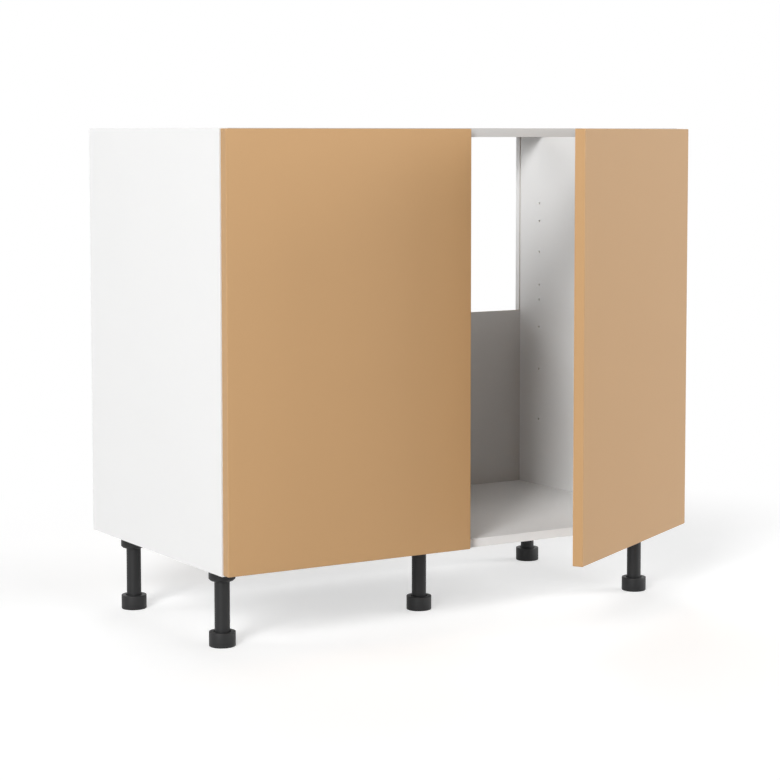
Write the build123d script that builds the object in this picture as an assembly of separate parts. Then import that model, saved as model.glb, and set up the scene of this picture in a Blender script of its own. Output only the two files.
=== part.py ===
from build123d import *
import os
from math import cos, radians, sin

# Sink base cabinet: two doors, no drawer, half-height back, five adjustable legs.
# Millimetres, +X to the right seen from the front, +Y to the back, +Z up.
# Origin: on the floor, under the centre of the middle leg, which stands at mid width.

# ---- Carcass -------------------------------------------------------------------------------
cabinet_width = 1000.0
carcass_height = 768.0
carcass_depth = 540.0
board = 16.0                    # side, bottom and rail boards
band = 1.0                      # edge band on every front edge
rail_width = 100.0              # both top rails lie flat
back_thickness = 4.0
back_rise = 367.0               # visible height of the back above the bottom panel
groove_depth = 8.0
groove_clearance = 0.1          # each side of the back in its grooves
rear_strip = 13.0               # board left behind the groove

# ---- Doors ---------------------------------------------------------------------------------
door_thickness = 19.0
door_standoff = 1.5             # gap from the carcass to a shut door
door_reveal_side = 2.0          # from the carcass edge to the door edge, also at mid width
door_reveal_top = 1.0
door_reveal_bottom = 2.0
door_edge_radius = 1.5
left_opening = 0.0              # degrees, as the doors stand
right_opening = 30.0
bumper_radius = 4.0
bumper_gap = 0.3                # left to the carcass when the door is shut
bumper_chamfer = 0.4
bumper_inset = 22.0             # from the door's free edge

# ---- Concealed hinge: u runs inward from the side's inner face, v back from its front edge ---
hinge_end_distance = 100.0      # cup centre to the door's end
cup_radius = 17.5
cup_depth = 13.0
cup_wall = 1.2
cup_floor = 1.0
cup_tab = 4.0                   # door left between the cup bore and the door's edge
cup_flange = 1.0
cup_pocket_half = 6.0           # half width of the pocket that the links fold into
cup_pin_grip = 3.0              # length of a cup pin held on each side of the pocket
cup_screw_spacing = 48.0
cup_screw_setback = 6.0         # screw line, further from the door's edge than the cup centre
cup_wing_radius = 5.5
cup_screw_radius = 1.75
cup_screw_length = 13.0
cup_screw_head = 3.4
cup_screw_crown = 2.2
cup_screw_head_height = 1.4
cup_wing_root = 3.0             # how much wider a wing starts at the cup
inner_arm_pivot = (22.5, 3.9)
inner_cup_pivot = (-2.1, -8.4)
outer_arm_pivot = (24.1, 23.5)
outer_cup_pivot = (-5.35, -4.6)
inner_link_rate = -0.34         # degrees of link for each degree of door, against the door
outer_link_rate = -0.308
inner_link_half = 3.0           # half width along the pins
outer_link_thickness = 1.6
arm_cheek_thickness = 1.4
link_gap = 0.4                  # side play between the stamped parts
inner_link_band = 1.3           # half height of a link's neck
outer_link_band = 1.1
pin_radius = 1.25
slim_pin_radius = 1.1
pin_clearance = 0.05
inner_eye_radius = 3.0
outer_eye_radius = 2.3
sleeve_radius = 4.4             # outer link's big eye round the arm pin, the opened pivot
sleeve_bore = 2.9
# Neck centrelines: (along the link from its cup pivot, to the side), goosenecks round the rim
inner_link_neck = [(2.8, -4.2), (6.0, -6.4), (9.8, -7.0), (15.0, -5.8), (22.0, -2.6)]
outer_link_neck = [(2.1, -3.8), (3.7, -6.1), (7.0, -6.4), (14.0, -3.3), (21.0, -0.8)]

arm_tip_radius = 3.3
arm_shoulder_radius = 4.2
arm_rear = 64.0                 # v of the arm's rear end
arm_low = 13.0                  # u of the arm's web where it lies on the plate
arm_high = 24.8                 # u of the web behind the outer arm pin
arm_crank = (30.0, 41.0)        # v where the web starts and ends its step down
arm_lift = 2.0                  # cheeks' lower edges above the plate's wings
arm_throat = 9.0                # the same, at the front where the cheeks rise to the pins
plate_setback = 37.0            # screw line of the mounting plate, also of the front holes
plate_wing_thickness = 2.5
plate_wing_width = 13.0
plate_screw_spacing = 32.0
plate_wing_end = 8.0            # wing beyond each screw
plate_wing_corner = 5.5
plate_block_nose = 3.0          # block's front end above the wings
plate_block_gap = 0.1           # block to the arm's cheeks
plate_block = (24.0, 62.0)      # v of the block's two ends
plate_screw_grip = 11.0
plate_screw_head = 4.2
plate_screw_head_height = 1.6
arm_screws_v = (46.0, 56.0)     # side adjustment, then clamping screw
arm_screw_radius = 2.6
arm_screw_floor = 2.0           # u of the block's screw holes' floor
arm_screw_tip = 3.0             # u of the screws' ends
arm_screw_head = 3.9
arm_screw_head_height = 1.8

# ---- Holes and board joints ------------------------------------------------------------------
system_hole_radius = 2.5
system_hole_depth = 12.0
rear_hole_setback = 87.0        # rear column, from the carcass's rear edge
shelf_hole_drops = (156.0, 193.0, 258.0, 327.0, 359.0, 416.0, 505.0, 612.0)
cam_radius = 7.5
cam_height = 12.5
cam_setback = 34.0              # cam centre from the panel's end
cam_bolt_radius = 3.5
cam_bolt_bore = 4.0
cam_bolt_grip = 11.0            # bolt's thread in the side
cam_bolt_thread_radius = 2.5
cam_bolt_overlap = 2.0          # bolt head inside the cam
dowel_radius = 4.0
dowel_length = 30.0
dowel_grip = 11.0
joint_clearance = 0.05
overshoot = 1.0                 # how far a cut runs past an open face
bottom_cam_insets = (30.0, 500.0)     # from the carcass front
bottom_dowel_insets = (134.0, 396.0)
rail_cam_inset = 34.0           # from the rail's front edge
rail_dowel_inset = 66.0
worktop_screw_radius = 2.25
worktop_screw_inset = 150.0     # from the carcass's outer side

# ---- Legs ------------------------------------------------------------------------------------
leg_height = 142.0
leg_side_setback = 44.0         # leg centre from the carcass's outer side
leg_front_setback = 86.0
leg_rear_setback = 87.0
centre_leg_setback = 160.0
leg_plate = 60.0
leg_plate_thickness = 3.0
leg_plate_corner = 10.0
leg_peg_radius = 5.0            # pressed into the bottom panel
leg_peg_length = 11.0
socket_radius = 23.75
socket_height = 24.5
socket_chamfer = 3.0
socket_floor = 4.0
tube_radius = 13.7
tube_wall = 2.0
tube_plug = 16.0
tube_fit = 0.05
foot_radius = 23.75
foot_height = 26.6
foot_lower_chamfer = 1.6
foot_upper_chamfer = 1.0
foot_recess_radius = 15.6
foot_recess_depth = 4.5
foot_stud_radius = 6.0
foot_stud_length = 48.0
foot_seat_gap = 0.3

# ---- Worked-out places -----------------------------------------------------------------------
carcass_front = -centre_leg_setback
carcass_rear = carcass_front + carcass_depth
carcass_bottom = leg_height
carcass_top = carcass_bottom + carcass_height
half_width = cabinet_width / 2
inner_left = -half_width + board
board_front = carcass_front + band
floor_top = carcass_bottom + board
groove_width = back_thickness + 2 * groove_clearance
groove_rear = carcass_rear - rear_strip
groove_front = groove_rear - groove_width
back_top = floor_top + back_rise
rail_bottom = carcass_top - board
rear_hole_y = carcass_rear - rear_hole_setback
front_hole_y = carcass_front + plate_setback
shelf_hole_heights = [carcass_top - drop for drop in shelf_hole_drops]

door_width = half_width - 2 * door_reveal_side
bumper_thickness = door_standoff - bumper_gap
door_bottom = carcass_bottom + door_reveal_bottom
door_top = carcass_top - door_reveal_top
door_outer_edge = -half_width + door_reveal_side
door_back = carcass_front - door_standoff
door_front = door_back - door_thickness
hinge_heights = (door_bottom + hinge_end_distance, door_top - hinge_end_distance)
HINGE_NAMES = ("lower", "upper")
cup_centre_x = door_outer_edge + cup_tab + cup_radius
outer_link_from = inner_link_half + link_gap
outer_link_to = outer_link_from + outer_link_thickness
cheek_from = outer_link_to + link_gap
cheek_to = cheek_from + arm_cheek_thickness
plate_screw_radius = system_hole_radius - joint_clearance
cup_pin_reach = cup_pocket_half + cup_pin_grip
cup_pins = ((inner_cup_pivot, pin_radius), (outer_cup_pivot, slim_pin_radius))

leg_places = {
    "front_left": (-half_width + leg_side_setback, carcass_front + leg_front_setback),
    "front_right": (half_width - leg_side_setback, carcass_front + leg_front_setback),
    "rear_left": (-half_width + leg_side_setback, carcass_rear - leg_rear_setback),
    "rear_right": (half_width - leg_side_setback, carcass_rear - leg_rear_setback),
    "centre": (0.0, carcass_front + centre_leg_setback),
}

NODES = {}


def add(name, *solids):
    """Keep one named piece, or one named group of like pieces."""
    flat = [solid for shape in solids for solid in shape.solids()]
    NODES[name] = flat[0] if len(flat) == 1 else Compound(children=flat)


def slab(low, high):
    """A plain board between two corners."""
    size = [b - a for a, b in zip(low, high)]
    middle = [(a + b) / 2 for a, b in zip(low, high)]
    return Pos(*middle) * Box(*size)


def rod(start, direction, radius, length):
    """A round bar from a start point along a direction."""
    return extrude(Plane(origin=start, z_dir=direction) * Circle(radius), length)


def mirrored(shape):
    """The same shape on the other side of the cabinet's middle plane."""
    return mirror(shape, about=Plane.YZ)


def turn(x, y, degrees):
    """A point turned about the vertical through zero."""
    angle = radians(degrees)
    return x * cos(angle) - y * sin(angle), x * sin(angle) + y * cos(angle)


# ---- Carcass boards -----------------------------------------------------------------------------
rail_places = {
    "front_rail": board_front,
    "rear_rail": carcass_rear - rail_width,
}


def joint_places():
    """(y, z) of each cam bolt and of each dowel on one side of the cabinet."""
    bottom_z = carcass_bottom + board / 2
    rail_z = carcass_top - board / 2
    cams = [(carcass_front + inset, bottom_z) for inset in bottom_cam_insets]
    dowels = [(carcass_front + inset, bottom_z) for inset in bottom_dowel_insets]
    for rail_y in rail_places.values():
        cams.append((rail_y + rail_cam_inset, rail_z))
        dowels.append((rail_y + rail_dowel_inset, rail_z))
    return cams, dowels


cam_places, dowel_places = joint_places()


def end_bores():
    """Bores and cam pockets that the bottom panel and the rails need at their left ends."""
    cutters = []
    for y, z in cam_places:
        cutters.append(rod((inner_left, y, z), (1, 0, 0), cam_bolt_bore, cam_setback))
        pocket_start = z - board / 2
        cam = rod((inner_left + cam_setback, y, pocket_start), (0, 0, 1),
                  cam_radius + joint_clearance, cam_height)
        cutters.append(cam)
    for y, z in dowel_places:
        depth = dowel_length - dowel_grip + joint_clearance
        cutters.append(rod((inner_left, y, z), (1, 0, 0), dowel_radius + joint_clearance, depth))
    return cutters


def with_both_ends_bored(panel):
    for cutter in end_bores():
        panel -= cutter
        panel -= mirrored(cutter)
    return panel


def side_panel():
    """Left side: groove for the back, system holes, bores for the joints; blank outside."""
    panel = slab((-half_width, board_front, carcass_bottom), (inner_left, carcass_rear, carcass_top))
    panel -= slab((inner_left - groove_depth, groove_front, carcass_bottom - overshoot),
                  (inner_left + overshoot, groove_rear, carcass_top + overshoot))
    hinge_holes = [z + offset for z in hinge_heights
                   for offset in (-plate_screw_spacing / 2, plate_screw_spacing / 2)]
    holes = [(front_hole_y, z) for z in hinge_holes + shelf_hole_heights]
    holes += [(rear_hole_y, z) for z in shelf_hole_heights]
    for y, z in holes:
        panel -= rod((inner_left, y, z), (-1, 0, 0), system_hole_radius, system_hole_depth)
    for y, z in cam_places:
        panel -= rod((inner_left, y, z), (-1, 0, 0),
                     cam_bolt_thread_radius + joint_clearance, cam_bolt_grip + joint_clearance)
    for y, z in dowel_places:
        panel -= rod((inner_left, y, z), (-1, 0, 0),
                     dowel_radius + joint_clearance, dowel_grip + joint_clearance)
    return panel


def bottom_panel():
    panel = slab((inner_left, board_front, carcass_bottom), (-inner_left, carcass_rear, floor_top))
    panel -= slab((inner_left - overshoot, groove_front, floor_top - groove_depth),
                  (-inner_left + overshoot, groove_rear, floor_top + overshoot))
    for x, y in leg_places.values():
        panel -= rod((x, y, carcass_bottom), (0, 0, 1), leg_peg_radius + joint_clearance,
                     leg_peg_length + joint_clearance)
    return with_both_ends_bored(panel)


def top_rail(front):
    """Flat rail with a hole near each end for the worktop's fixing screws."""
    rail = slab((inner_left, front, rail_bottom), (-inner_left, front + rail_width, carcass_top))
    hole_x = half_width - worktop_screw_inset
    for x in (-hole_x, hole_x):
        rail -= rod((x, front + rail_width / 2, rail_bottom), (0, 0, 1), worktop_screw_radius, board)
    return with_both_ends_bored(rail)


def back_panel():
    reach = groove_depth - joint_clearance
    return slab((inner_left - reach, groove_front + groove_clearance, floor_top - reach),
                (-inner_left + reach, groove_rear - groove_clearance, back_top))


def edge_bands():
    """Front edges of both sides, the bottom and the front rail."""
    left = slab((-half_width, carcass_front, carcass_bottom), (inner_left, board_front, carcass_top))
    low = slab((inner_left, carcass_front, carcass_bottom), (-inner_left, board_front, floor_top))
    high = slab((inner_left, carcass_front, rail_bottom), (-inner_left, board_front, carcass_top))
    return [left, mirrored(left), low, high]


def joint_fittings():
    """Cams, their bolts and the dowels of the left side; the right side mirrors them."""
    cams, bolts, dowels = [], [], []
    for y, z in cam_places:
        centre_x = inner_left + cam_setback
        cam = rod((centre_x, y, z - board / 2), (0, 0, 1), cam_radius, cam_height)
        entry = cam_bolt_radius + joint_clearance
        mouth = cam_radius - cam_bolt_overlap
        cam -= rod((centre_x - cam_radius - overshoot, y, z), (1, 0, 0), entry,
                   cam_bolt_overlap + overshoot)
        cams.append(cam)
        bolt = rod((inner_left - cam_bolt_grip, y, z), (1, 0, 0), cam_bolt_thread_radius, cam_bolt_grip)
        shank = cam_setback - mouth - joint_clearance
        bolt += rod((inner_left, y, z), (1, 0, 0), cam_bolt_radius, shank)
        bolts.append(bolt)
    for y, z in dowel_places:
        dowels.append(rod((inner_left - dowel_grip, y, z), (1, 0, 0), dowel_radius, dowel_length))
    return cams, bolts, dowels


def build_carcass():
    left_side = side_panel()
    add("side_panel_left", left_side)
    add("side_panel_right", mirrored(left_side))
    add("bottom_panel", bottom_panel())
    add("back_panel", back_panel())
    for name, front in rail_places.items():
        add(name, top_rail(front))
    add("edge_bands", *edge_bands())
    for name, pieces in zip(("cam_fittings", "cam_bolts", "wood_dowels"), joint_fittings()):
        add(name, *pieces, *[mirrored(piece) for piece in pieces])


# ---- Hinge kinematics, left door; the right door mirrors it -----------------------------------------
def at_side(point):
    """(u, v) of the hinge drawings as the row's X and Y, at the left side."""
    return inner_left + point[0], carcass_front + point[1]


def swung(point, pivot, degrees):
    """A point turned about a vertical pivot."""
    x, y = turn(point[0] - pivot[0], point[1] - pivot[1], degrees)
    return pivot[0] + x, pivot[1] + y


def hinge_pose(opening):
    """Cup pivots, and the turns of door and links, when the door stands open by some degrees."""
    arm_pin = at_side(inner_arm_pivot)
    shut_pin = at_side(inner_cup_pivot)
    shut_outer = at_side(outer_cup_pivot)
    door_turn = -opening
    inner_turn = -inner_link_rate * opening
    outer_turn = -outer_link_rate * opening
    pin = swung(shut_pin, arm_pin, inner_turn)
    x, y = turn(shut_outer[0] - shut_pin[0], shut_outer[1] - shut_pin[1], door_turn)
    outer_pin = pin[0] + x, pin[1] + y
    return {"inner_pin": pin, "outer_pin": outer_pin, "door_turn": door_turn,
            "inner_turn": inner_turn, "outer_turn": outer_turn}


def carried(shape, shut_pivot, new_pivot, degrees):
    """A shape drawn with the door shut, taken along by its pivot."""
    back = Pos(-shut_pivot[0], -shut_pivot[1], 0)
    return Pos(new_pivot[0], new_pivot[1], 0) * Rot(0, 0, degrees) * back * shape


def on_door(shape, opening):
    pose = hinge_pose(opening)
    return carried(shape, at_side(inner_cup_pivot), pose["inner_pin"], pose["door_turn"])


# ---- Hinge pieces, drawn at the left side with the door shut and the hinge's middle at z = 0 ---------
def upright(plan, low, high):
    """A drawing in plan, made solid between two heights."""
    return extrude(Pos(0, 0, low) * plan, high - low, dir=(0, 0, 1))


def disc(centre, radius):
    return Pos(centre[0], centre[1]) * Circle(radius)


def link_plan(cup_pivot, arm_pivot, neck, band_half, cup_eye, arm_eye):
    """A gooseneck link in plan: two eyes joined by a band along the neck's centreline."""
    start = at_side(cup_pivot)
    end = at_side(arm_pivot)
    run_x, run_y = end[0] - start[0], end[1] - start[1]
    length = (run_x ** 2 + run_y ** 2) ** 0.5
    unit = (run_x / length, run_y / length)
    path = [start]
    for along, aside in neck:
        path.append((start[0] + along * unit[0] - aside * unit[1],
                     start[1] + along * unit[1] + aside * unit[0]))
    path.append(end)
    plan = disc(start, cup_eye) + disc(end, arm_eye)
    for first, second in zip(path, path[1:]):
        plan += make_hull((disc(first, band_half) + disc(second, band_half)).edges())
    return plan


def inner_link():
    plan = link_plan(inner_cup_pivot, inner_arm_pivot, inner_link_neck, inner_link_band,
                     inner_eye_radius, inner_eye_radius)
    for pivot in (inner_cup_pivot, inner_arm_pivot):
        plan -= disc(at_side(pivot), pin_radius + pin_clearance)
    return upright(plan, -inner_link_half, inner_link_half)


def outer_link():
    """Two cheeks either side of the inner link, joined by the sleeve round the arm pin."""
    plan = link_plan(outer_cup_pivot, outer_arm_pivot, outer_link_neck, outer_link_band,
                     outer_eye_radius, sleeve_radius)
    bores = (disc(at_side(outer_cup_pivot), slim_pin_radius + pin_clearance)
             + disc(at_side(outer_arm_pivot), sleeve_bore))
    plan -= bores
    upper = upright(plan, outer_link_from, outer_link_to)
    lower = upright(plan, -outer_link_to, -outer_link_from)
    sleeve = disc(at_side(outer_arm_pivot), sleeve_radius) - disc(at_side(outer_arm_pivot), sleeve_bore)
    return upper + lower + upright(sleeve, -outer_link_to, outer_link_to)


def hinge_arm():
    """Pressed channel: two cheeks that hold the arm pins, and a web stepped down to the plate."""
    def point(v, u):
        return at_side((u, v))
    tip = disc(at_side(inner_arm_pivot), arm_tip_radius)
    shoulder = disc(at_side(outer_arm_pivot), arm_shoulder_radius)
    crank_start, crank_end = arm_crank
    top_low = arm_low + arm_cheek_thickness
    top_high = arm_high + arm_cheek_thickness
    low = plate_wing_thickness + arm_lift
    rear = Polygon(point(crank_start, top_high), point(crank_end, top_low), point(arm_rear, top_low),
                   point(arm_rear, low), point(crank_start, low), align=None)
    cheek = make_hull((tip + shoulder).edges()) + rear
    cheek += Polygon(at_side(outer_arm_pivot), point(crank_start, top_high), point(crank_start, low),
                     point(outer_arm_pivot[1] - arm_shoulder_radius, plate_wing_thickness + arm_throat),
                     align=None)
    cheek -= disc(at_side(inner_arm_pivot), pin_radius + pin_clearance)
    cheek -= disc(at_side(outer_arm_pivot), pin_radius + pin_clearance)
    web = Polygon(point(crank_start, arm_high), point(crank_start, top_high), point(crank_end, top_low),
                  point(arm_rear, top_low), point(arm_rear, arm_low), point(crank_end, arm_low),
                  align=None)
    arm = (upright(cheek, cheek_from, cheek_to) + upright(cheek, -cheek_to, -cheek_from)
           + upright(web, -cheek_to, cheek_to))
    for v in arm_screws_v:
        x, y = point(v, arm_low - overshoot)
        arm -= rod((x, y, 0), (1, 0, 0), arm_screw_radius + joint_clearance,
                   arm_cheek_thickness + 2 * overshoot)
    return arm


def hinge_plate():
    """Cruciform plate: two screwed wings and a block that the arm lies on."""
    wing_end = plate_screw_spacing / 2 + plate_wing_end
    wing = slab((inner_left, front_hole_y - plate_wing_width / 2, -wing_end),
                (inner_left + plate_wing_thickness, front_hole_y + plate_wing_width / 2, wing_end))
    wing = fillet(wing.edges().filter_by(Axis.X), plate_wing_corner)
    half = cheek_from - plate_block_gap
    low_v, high_v = plate_block
    block_plan = Polygon(at_side((0, low_v)), at_side((0, high_v)), at_side((arm_low, high_v)),
                         at_side((arm_low, arm_crank[1])),
                         at_side((plate_wing_thickness + plate_block_nose, low_v)), align=None)
    plate = wing + upright(block_plan, -half, half)
    for side in (-1, 1):
        plate -= rod((inner_left, front_hole_y, side * plate_screw_spacing / 2), (1, 0, 0),
                     plate_screw_radius + joint_clearance, plate_wing_thickness)
    for v in arm_screws_v:
        plate -= rod((inner_left + arm_screw_floor, carcass_front + v, 0), (1, 0, 0),
                     arm_screw_radius + joint_clearance, arm_low)
    return plate


def plate_screw_pair():
    """Euro screws in the side's system holes, heads on the wings."""
    screws = []
    for side in (-1, 1):
        z = side * plate_screw_spacing / 2
        head_x = inner_left + plate_wing_thickness
        shank = rod((head_x, front_hole_y, z), (-1, 0, 0), plate_screw_radius,
                    plate_wing_thickness + plate_screw_grip)
        head = rod((head_x, front_hole_y, z), (1, 0, 0), plate_screw_head, plate_screw_head_height)
        screws.append(shank + head)
    return screws


def arm_screw_pair():
    """Side-adjusting screw and clamping screw through the arm's web into the block."""
    screws = []
    for v in arm_screws_v:
        head_x = inner_left + arm_low + arm_cheek_thickness
        shank = rod((head_x, carcass_front + v, 0), (-1, 0, 0), arm_screw_radius,
                    arm_cheek_thickness + arm_low - arm_screw_tip)
        head = rod((head_x, carcass_front + v, 0), (1, 0, 0), arm_screw_head, arm_screw_head_height)
        screws.append(shank + head)
    return screws


def pin(pivot, radius, reach):
    x, y = at_side(pivot)
    return rod((x, y, -reach), (0, 0, 1), radius, 2 * reach)


def cup_flange_plan():
    """The flange's outline on the door's inner face: round the cup, with a wing at each screw."""
    plan = Circle(cup_radius)
    for side in (-1, 1):
        wing = Pos(cup_screw_setback, side * cup_screw_spacing / 2) * Circle(cup_wing_radius)
        root = Circle(cup_wing_radius + cup_wing_root)
        plan += make_hull((wing + root).edges())
    return plan


def door_plane(y):
    """Plane of the door's inner face: drawing x is the row's X, drawing y is Z, normal to the front."""
    return Plane(origin=(cup_centre_x, y, 0), x_dir=(1, 0, 0), z_dir=(0, -1, 0))


def hinge_cup():
    """Cast cup: a round body in the door, a pocket for the links, a screwed flange."""
    body = extrude(door_plane(door_back) * Circle(cup_radius - joint_clearance), cup_depth)
    flange = extrude(door_plane(door_back) * cup_flange_plan(), cup_flange, dir=(0, 1, 0))
    cup = body + flange
    inner = cup_radius - cup_wall
    pocket = Circle(inner) & Rectangle(2 * inner, 2 * cup_pocket_half)
    pocket_depth = cup_depth - cup_floor
    cup -= extrude(door_plane(door_back + cup_flange) * pocket, pocket_depth + cup_flange)
    for pivot, radius in cup_pins:
        cup -= pin(pivot, radius + pin_clearance, cup_pin_reach + pin_clearance)
    for side in (-1, 1):
        x = cup_centre_x + cup_screw_setback
        cup -= rod((x, door_back + cup_flange, side * cup_screw_spacing / 2), (0, -1, 0),
                   cup_screw_radius + joint_clearance, cup_flange)
    return cup


def cup_screw_pair():
    screws = []
    x = cup_centre_x + cup_screw_setback
    for side in (-1, 1):
        z = side * cup_screw_spacing / 2
        shank = rod((x, door_back + cup_flange, z), (0, -1, 0), cup_screw_radius,
                    cup_flange + cup_screw_length)
        head = Pos(x, door_back + cup_flange, z) * Rot(-90, 0, 0) * Cone(
            cup_screw_head, cup_screw_crown, cup_screw_head_height,
            align=(Align.CENTER, Align.CENTER, Align.MIN))
        screws.append(shank + head)
    return screws


def door_panel():
    """Slab door with softened outer edges, two cup bores and the cup screws' holes."""
    panel = slab((door_outer_edge, door_front, door_bottom),
                 (door_outer_edge + door_width, door_back, door_top))
    rim = panel.faces().sort_by(Axis.Y)[0].edges() + panel.edges().filter_by(Axis.Y)
    panel = fillet(rim, door_edge_radius)
    for z in hinge_heights:
        bore = extrude(door_plane(door_back) * Circle(cup_radius), cup_depth + joint_clearance)
        panel -= Pos(0, 0, z) * bore
        for side in (-1, 1):
            x = cup_centre_x + cup_screw_setback
            panel -= rod((x, door_back, z + side * cup_screw_spacing / 2), (0, -1, 0),
                         cup_screw_radius + joint_clearance, cup_screw_length + joint_clearance)
    return panel


def bumper_pair():
    """Soft bumpers that meet the bottom panel and the front rail."""
    x = door_outer_edge + door_width - bumper_inset
    bumpers = []
    for z in (carcass_bottom + board / 2, carcass_top - board / 2):
        bumper = rod((x, door_back, z), (0, 1, 0), bumper_radius, bumper_thickness)
        bumpers.append(chamfer(bumper.faces().sort_by(Axis.Y)[-1].edges(), bumper_chamfer))
    return bumpers


def build_door(side, opening, place):
    """One door with its cups and links, as it stands, on its side of the cabinet."""
    pose = hinge_pose(opening)

    def moved(shape):
        return place(on_door(shape, opening))

    add(f"door_{side}", moved(door_panel()))
    add(f"door_bumpers_{side}", *[moved(bumper) for bumper in bumper_pair()])
    screws, pins = [], []
    for name, z in zip(HINGE_NAMES, hinge_heights):
        add(f"hinge_cup_{side}_{name}", moved(Pos(0, 0, z) * hinge_cup()))
        screws += [moved(Pos(0, 0, z) * screw) for screw in cup_screw_pair()]
        pins += [moved(Pos(0, 0, z) * pin(pivot, radius, cup_pin_reach)) for pivot, radius in cup_pins]
        inner = carried(Pos(0, 0, z) * inner_link(), at_side(inner_cup_pivot),
                        pose["inner_pin"], pose["inner_turn"])
        outer = carried(Pos(0, 0, z) * outer_link(), at_side(outer_cup_pivot),
                        pose["outer_pin"], pose["outer_turn"])
        add(f"inner_link_{side}_{name}", place(inner))
        add(f"outer_link_{side}_{name}", place(outer))
    add(f"cup_screws_{side}", *screws)
    add(f"cup_pins_{side}", *pins)


def build_hinge_mounts():
    """Plates and arms stay on the carcass, with their screws and the arm pins."""
    plate_screws, arm_screws, arm_pins = [], [], []
    for side, place in SIDES.items():
        for name, z in zip(HINGE_NAMES, hinge_heights):
            add(f"hinge_plate_{side}_{name}", place(Pos(0, 0, z) * hinge_plate()))
            add(f"hinge_arm_{side}_{name}", place(Pos(0, 0, z) * hinge_arm()))
            plate_screws += [place(Pos(0, 0, z) * screw) for screw in plate_screw_pair()]
            arm_screws += [place(Pos(0, 0, z) * screw) for screw in arm_screw_pair()]
            for pivot in (inner_arm_pivot, outer_arm_pivot):
                arm_pins.append(place(Pos(0, 0, z) * pin(pivot, pin_radius, cheek_to)))
    add("plate_screws", *plate_screws)
    add("arm_screws", *arm_screws)
    add("arm_pins", *arm_pins)


SIDES = {"left": lambda shape: shape, "right": mirrored}
OPENINGS = {"left": left_opening, "right": right_opening}


# ---- Legs, drawn standing on the origin ---------------------------------------------------------------
tube_bottom = foot_height - foot_recess_depth + foot_seat_gap
tube_top = leg_height - socket_floor - joint_clearance


def leg_socket():
    """Plate with a peg pressed into the bottom panel and a round socket below."""
    plate = extrude(Pos(0, 0, leg_height - leg_plate_thickness)
                    * RectangleRounded(leg_plate, leg_plate, leg_plate_corner), leg_plate_thickness)
    body = rod((0, 0, leg_height - socket_height), (0, 0, 1), socket_radius, socket_height)
    body = chamfer(body.faces().sort_by(Axis.Z)[0].edges(), socket_chamfer)
    socket = plate + body + rod((0, 0, leg_height), (0, 0, 1), leg_peg_radius, leg_peg_length)
    return socket - rod((0, 0, 0), (0, 0, 1), tube_radius + tube_fit, leg_height - socket_floor)


def leg_tube():
    """Tube with a bored plug at its lower end that the foot's stud runs in."""
    tube = rod((0, 0, tube_bottom), (0, 0, 1), tube_radius, tube_top - tube_bottom)
    tube -= rod((0, 0, tube_bottom + tube_plug), (0, 0, 1), tube_radius - tube_wall, tube_top)
    tube -= rod((0, 0, tube_bottom), (0, 0, 1), foot_stud_radius + pin_clearance, tube_plug)
    return chamfer(tube.faces().sort_by(Axis.Z)[0].outer_wire().edges(), 1.0)


def leg_foot():
    """Round puck with a recess round the tube's end and a stud up into the tube."""
    puck = rod((0, 0, 0), (0, 0, 1), foot_radius, foot_height)
    puck = chamfer(puck.faces().sort_by(Axis.Z)[0].edges(), foot_lower_chamfer)
    puck = chamfer(puck.faces().sort_by(Axis.Z)[-1].edges(), foot_upper_chamfer)
    recess_floor = foot_height - foot_recess_depth
    puck -= rod((0, 0, recess_floor), (0, 0, 1), foot_recess_radius, foot_recess_depth)
    stud = rod((0, 0, recess_floor), (0, 0, 1), foot_stud_radius, foot_stud_length)
    return puck + stud


def build_legs():
    for name, (x, y) in leg_places.items():
        add(f"leg_socket_{name}", Pos(x, y, 0) * leg_socket())
        add(f"leg_tube_{name}", Pos(x, y, 0) * leg_tube())
        add(f"leg_foot_{name}", Pos(x, y, 0) * leg_foot())


def main():
    build_carcass()
    build_hinge_mounts()
    for side, place in SIDES.items():
        build_door(side, OPENINGS[side], place)
    build_legs()
    os.makedirs("parts", exist_ok=True)
    for name, shape in NODES.items():
        export_step(shape, f"parts/{name}.step")


main()
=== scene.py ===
import math

import bmesh
import bpy
from mathutils import Matrix, Vector


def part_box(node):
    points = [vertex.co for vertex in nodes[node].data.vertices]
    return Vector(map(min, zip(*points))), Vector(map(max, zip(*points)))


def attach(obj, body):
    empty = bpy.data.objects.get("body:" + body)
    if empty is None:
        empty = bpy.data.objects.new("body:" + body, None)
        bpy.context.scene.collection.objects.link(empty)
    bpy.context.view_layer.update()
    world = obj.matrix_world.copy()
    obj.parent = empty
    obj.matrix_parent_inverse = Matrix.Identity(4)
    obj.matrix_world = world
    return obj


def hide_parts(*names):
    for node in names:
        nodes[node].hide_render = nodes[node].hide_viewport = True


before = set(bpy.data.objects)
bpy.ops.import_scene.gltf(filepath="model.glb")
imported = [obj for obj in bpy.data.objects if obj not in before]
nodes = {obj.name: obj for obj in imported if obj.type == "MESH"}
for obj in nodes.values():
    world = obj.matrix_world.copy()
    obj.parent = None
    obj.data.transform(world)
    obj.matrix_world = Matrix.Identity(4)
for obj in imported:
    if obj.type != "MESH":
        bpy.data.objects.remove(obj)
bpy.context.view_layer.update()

# Metres. +X to the right seen from the front, +Y to the back, +Z up.
MM = 0.001
BOARD = 16 * MM
CARCASS_BOTTOM = 0.142
CARCASS_TOP = 0.910
HALF_WIDTH = 0.500
SIDE_FACE = HALF_WIDTH - BOARD          # a side's inner face
SIDE_MIDDLE = HALF_WIDTH - BOARD / 2
RAIL_UNDERSIDE = CARCASS_TOP - BOARD
RAIL_MIDDLE = CARCASS_TOP - BOARD / 2
BOTTOM_MIDDLE = CARCASS_BOTTOM + BOARD / 2
DOOR_TURNS = {"left": 0.0, "right": math.radians(30)}   # how far each door stands open at rest


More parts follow.
